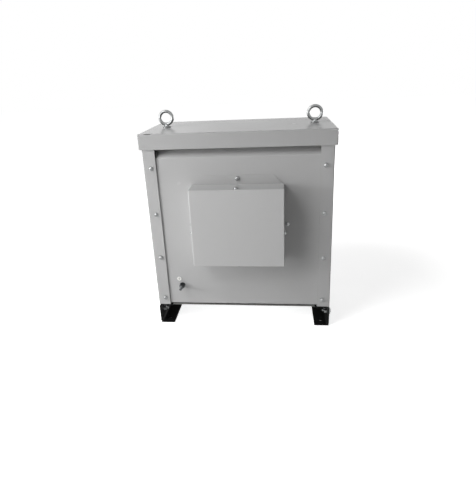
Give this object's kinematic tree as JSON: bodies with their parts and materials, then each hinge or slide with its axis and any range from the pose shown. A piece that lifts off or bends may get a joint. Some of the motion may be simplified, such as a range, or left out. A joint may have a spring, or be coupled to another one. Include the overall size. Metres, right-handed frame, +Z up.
{
  "type": "autotransformer",
  "caption": "Floor-standing dry autotransformer in a grey sheet-steel case with a front terminal box, lifting eyes and black base rails.",
  "frame": {"origin": "on the floor, midway between the two base rails and midway along them", "axes": "+Z up, +Y to the back, -Y is the side of the terminal box, +X to the right of somebody who faces that side"},
  "size_m": [0.5662, 0.3466, 0.679],
  "materials": {
    "grey_powder_coat": "satin powder coat",
    "black_paint": "satin black enamel",
    "zinc_plated_steel": "bright zinc plate",
    "drop_forged_steel": "zinc-plated forging",
    "brass_stud": "machined brass",
    "core_sheet_steel": "stacked edges, varnished",
    "enamelled_wire": "varnished enamelled wire",
    "bare_copper": "bare rolled copper",
    "lead_sleeve": "extruded sleeve",
    "pressboard": "calendered board",
    "phenolic_board": "sawn laminate",
    "seal_rubber": "cellular rubber",
    "white_disc": "satin"
  },
  "bodies": {
    "root": {"base_cross_bars": "black_paint", "base_rail_left": "black_paint", "base_rail_right": "black_paint", "bottom_guard": "zinc_plated_steel", "box_screws": "zinc_plated_steel", "box_washers": "zinc_plated_steel", "box_weld_nuts": "zinc_plated_steel", "coil_blocks_lower": "pressboard", "coil_blocks_upper": "pressboard", "coil_formers": "pressboard", "common_winding_a": "enamelled_wire", "common_winding_b": "enamelled_wire", "common_winding_c": "enamelled_wire", "core_bolts": "zinc_plated_steel", "core_clamp_lower_front": "zinc_plated_steel", "core_clamp_lower_rear": "zinc_plated_steel", "core_clamp_upper_front": "zinc_plated_steel", "core_clamp_upper_rear": "zinc_plated_steel", "core_limb_a": "core_sheet_steel", "core_limb_b": "core_sheet_steel", "core_limb_c": "core_sheet_steel", "core_nuts": "zinc_plated_steel", "core_washers": "zinc_plated_steel", "core_yoke_lower": "core_sheet_steel", "core_yoke_upper": "core_sheet_steel", "duct_sticks": "pressboard", "earth_label": "white_disc", "earth_nuts": "zinc_plated_steel", "earth_stud": "zinc_plated_steel", "eye_bolt_left": "drop_forged_steel", "eye_bolt_nuts": "zinc_plated_steel", "eye_bolt_right": "drop_forged_steel", "front_panel": "grey_powder_coat", "input_leads": "lead_sleeve", "lifting_plates": "zinc_plated_steel", "neutral_bar": "bare_copper", "neutral_lead": "lead_sleeve", "output_leads": "lead_sleeve", "panel_screws": "zinc_plated_steel", "panel_seals": "seal_rubber", "panel_washers": "zinc_plated_steel", "panel_weld_nuts": "zinc_plated_steel", "rail_bolt_nuts": "zinc_plated_steel", "rail_bolt_washers": "zinc_plated_steel", "rail_bolts": "zinc_plated_steel", "rear_panel": "grey_powder_coat", "roof_lid": "grey_powder_coat", "series_winding_a": "enamelled_wire", "series_winding_b": "enamelled_wire", "series_winding_c": "enamelled_wire", "side_panel_left": "grey_powder_coat", "side_panel_right": "grey_powder_coat", "terminal_board": "phenolic_board", "terminal_box_base": "grey_powder_coat", "terminal_box_cover": "grey_powder_coat", "terminal_nuts": "zinc_plated_steel", "terminal_pillars": "zinc_plated_steel", "terminal_studs": "brass_stud", "vibration_pads": "seal_rubber", "yoke_bolt_tubes": "pressboard", "yoke_bolts": "zinc_plated_steel"}
  },
  "joints": []
}
